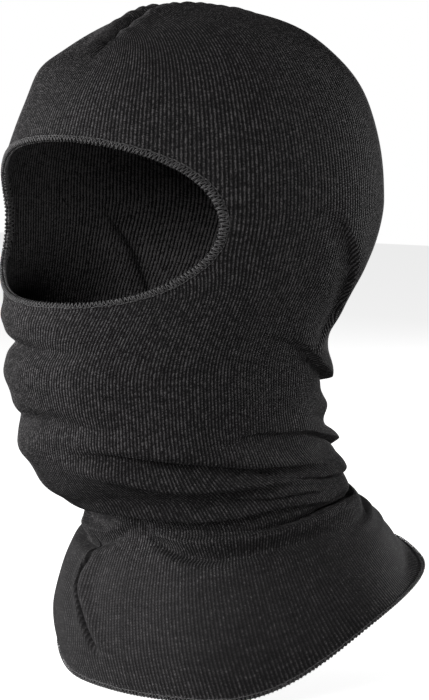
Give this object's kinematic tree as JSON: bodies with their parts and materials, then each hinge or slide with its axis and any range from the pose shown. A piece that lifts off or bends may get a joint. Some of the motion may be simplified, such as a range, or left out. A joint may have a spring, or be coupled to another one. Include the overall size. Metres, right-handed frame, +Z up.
{
  "type": "balaclava",
  "caption": "Fine rib knitted balaclava with a single face opening, bunched neck and flared bib, overlocked edges and a crown seam.",
  "frame": {"origin": "centre of the head at the headband line, a few millimetres above the top of the face opening; this is where a head holds the hood up", "axes": "+Z up along the head, the face looks along -Y, the wearer's left is +X"},
  "size_m": [0.182, 0.2095, 0.3207],
  "materials": {
    "knit": "matt fine rib knit, near black",
    "thread": "dull charcoal sewing thread"
  },
  "bodies": {
    "root": {"knit_tube": "knit", "crown_seam_needle_thread": "thread", "crown_seam_upper_looper_thread": "thread", "crown_seam_lower_looper_thread": "thread", "face_edge_needle_thread": "thread", "face_edge_upper_looper_thread": "thread", "face_edge_lower_looper_thread": "thread", "hem_needle_thread": "thread", "hem_upper_looper_thread": "thread", "hem_lower_looper_thread": "thread"}
  },
  "joints": []
}
